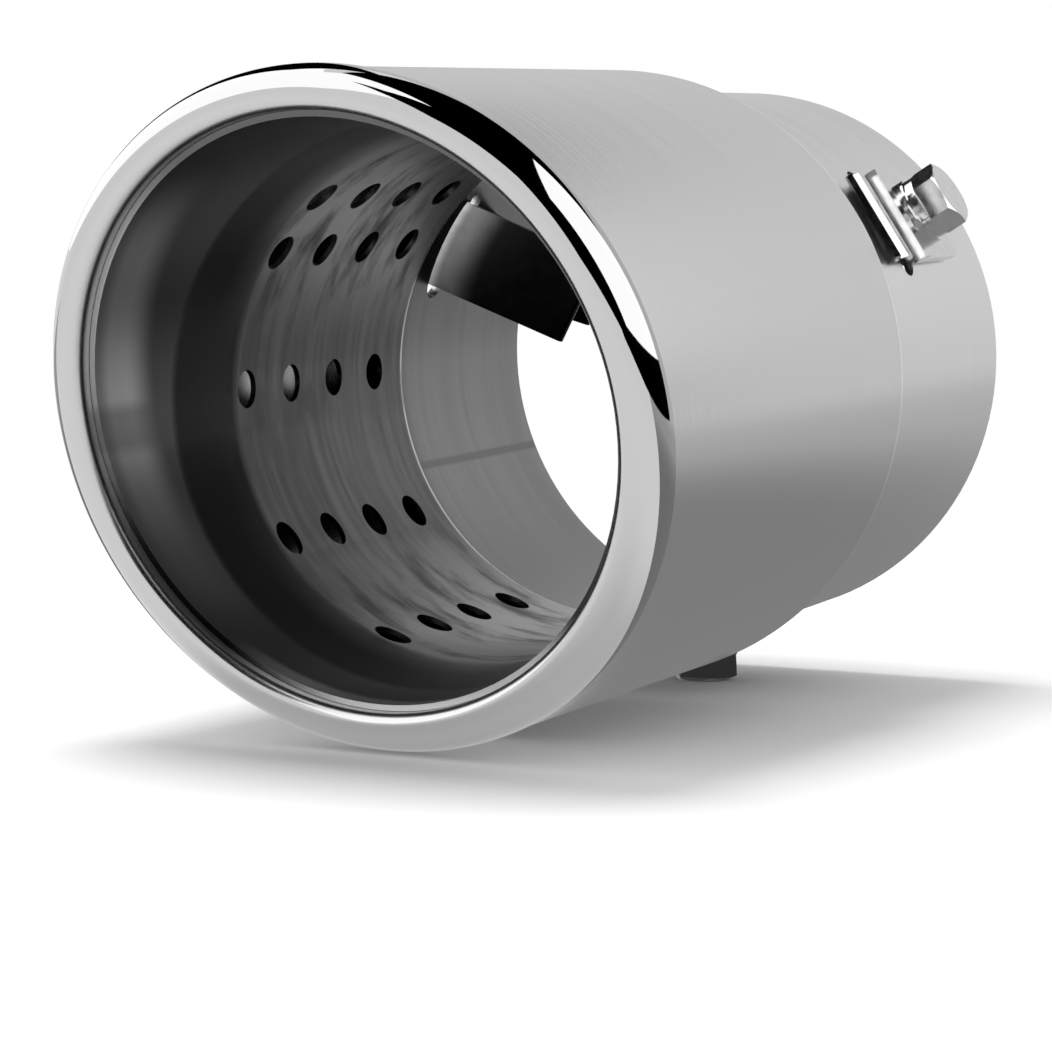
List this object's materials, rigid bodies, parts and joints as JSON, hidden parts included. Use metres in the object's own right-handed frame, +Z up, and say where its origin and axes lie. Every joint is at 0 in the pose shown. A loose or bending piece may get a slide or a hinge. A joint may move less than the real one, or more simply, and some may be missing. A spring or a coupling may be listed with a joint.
{
  "type": "exhaust tip",
  "caption": "Double-walled round exhaust tip with a slanted rolled lip, a perforated liner and a smaller inlet collar whose screw clamps push sprung jaws onto a tailpipe.",
  "frame": {"origin": "centre of the open inlet end of the collar, on the axis of the tube", "axes": "+Y along the tube from the outlet to the inlet, +Z up, +X to the right as seen from the outlet"},
  "size_m": [0.1014, 0.1758, 0.1053],
  "materials": {
    "polished_stainless": "mirror polished",
    "liner_stainless": "dull rolled sheet, lightly stained",
    "satin_stainless": "satin",
    "zinc_steel": "bright zinc",
    "spring_leaf": "bright strip"
  },
  "bodies": {
    "tip_shell": {"outer_casing": "polished_stainless", "inner_liner": "liner_stainless", "inlet_collar": "satin_stainless", "saddle_plate_right": "satin_stainless", "weld_nut_right": "zinc_steel", "saddle_plate_bottom": "satin_stainless", "weld_nut_bottom": "zinc_steel", "saddle_plate_left": "satin_stainless", "weld_nut_left": "zinc_steel"},
    "washers_right": {"flat_washer_right": "zinc_steel", "spring_washer_right": "zinc_steel"},
    "screw_right": {"bolt_right": "zinc_steel"},
    "grip_right": {"jaw_right": "spring_leaf"},
    "washers_bottom": {"flat_washer_bottom": "zinc_steel", "spring_washer_bottom": "zinc_steel"},
    "screw_bottom": {"bolt_bottom": "zinc_steel"},
    "grip_bottom": {"jaw_bottom": "spring_leaf"},
    "washers_left": {"flat_washer_left": "zinc_steel", "spring_washer_left": "zinc_steel"},
    "screw_left": {"bolt_left": "zinc_steel"},
    "grip_left": {"jaw_left": "spring_leaf"}
  },
  "joints": [
    {"name": "screw_travel_right", "type": "slide", "parent": "tip_shell", "child": "washers_right", "axis": [0.8387, 0, 0.5446], "range_m": [0, 0.008]},
    {"name": "screw_turn_right", "type": "hinge", "parent": "washers_right", "child": "screw_right", "pos_m": [0.0429, -0.027, 0.02786], "axis": [0.8387, 0, 0.5446], "range_deg": [0, 2880]},
    {"name": "jaw_swing_right", "type": "hinge", "parent": "tip_shell", "child": "grip_right", "pos_m": [0.03942, -0.0485, 0.0256], "axis": [0.5446, 0, -0.8387], "range_deg": [0, 9]},
    {"name": "screw_travel_bottom", "type": "slide", "parent": "tip_shell", "child": "washers_bottom", "axis": [0.0523, 0, -0.9986], "range_m": [0, 0.008]},
    {"name": "screw_turn_bottom", "type": "hinge", "parent": "washers_bottom", "child": "screw_bottom", "pos_m": [0.00268, -0.027, -0.05108], "axis": [0.0523, 0, -0.9986], "range_deg": [0, 2880]},
    {"name": "jaw_swing_bottom", "type": "hinge", "parent": "tip_shell", "child": "grip_bottom", "pos_m": [0.00246, -0.0485, -0.04694], "axis": [-0.9986, 0, -0.0523], "range_deg": [0, 9]},
    {"name": "screw_travel_left", "type": "slide", "parent": "tip_shell", "child": "washers_left", "axis": [-0.891, 0, 0.454], "range_m": [0, 0.008]},
    {"name": "screw_turn_left", "type": "hinge", "parent": "washers_left", "child": "screw_left", "pos_m": [-0.04557, -0.027, 0.02322], "axis": [-0.891, 0, 0.454], "range_deg": [0, 2880]},
    {"name": "jaw_swing_left", "type": "hinge", "parent": "tip_shell", "child": "grip_left", "pos_m": [-0.04188, -0.0485, 0.02134], "axis": [0.454, 0, 0.891], "range_deg": [0, 9]}
  ],
  "couplings": [
    {"joint": "screw_turn_right", "follows": "screw_travel_right", "rad_per_m": 6283.2},
    {"joint": "jaw_swing_right", "follows": "screw_travel_right", "rad_per_m": 19.635},
    {"joint": "screw_turn_bottom", "follows": "screw_travel_bottom", "rad_per_m": 6283.2},
    {"joint": "jaw_swing_bottom", "follows": "screw_travel_bottom", "rad_per_m": 19.635},
    {"joint": "screw_turn_left", "follows": "screw_travel_left", "rad_per_m": 6283.2},
    {"joint": "jaw_swing_left", "follows": "screw_travel_left", "rad_per_m": 19.635}
  ]
}
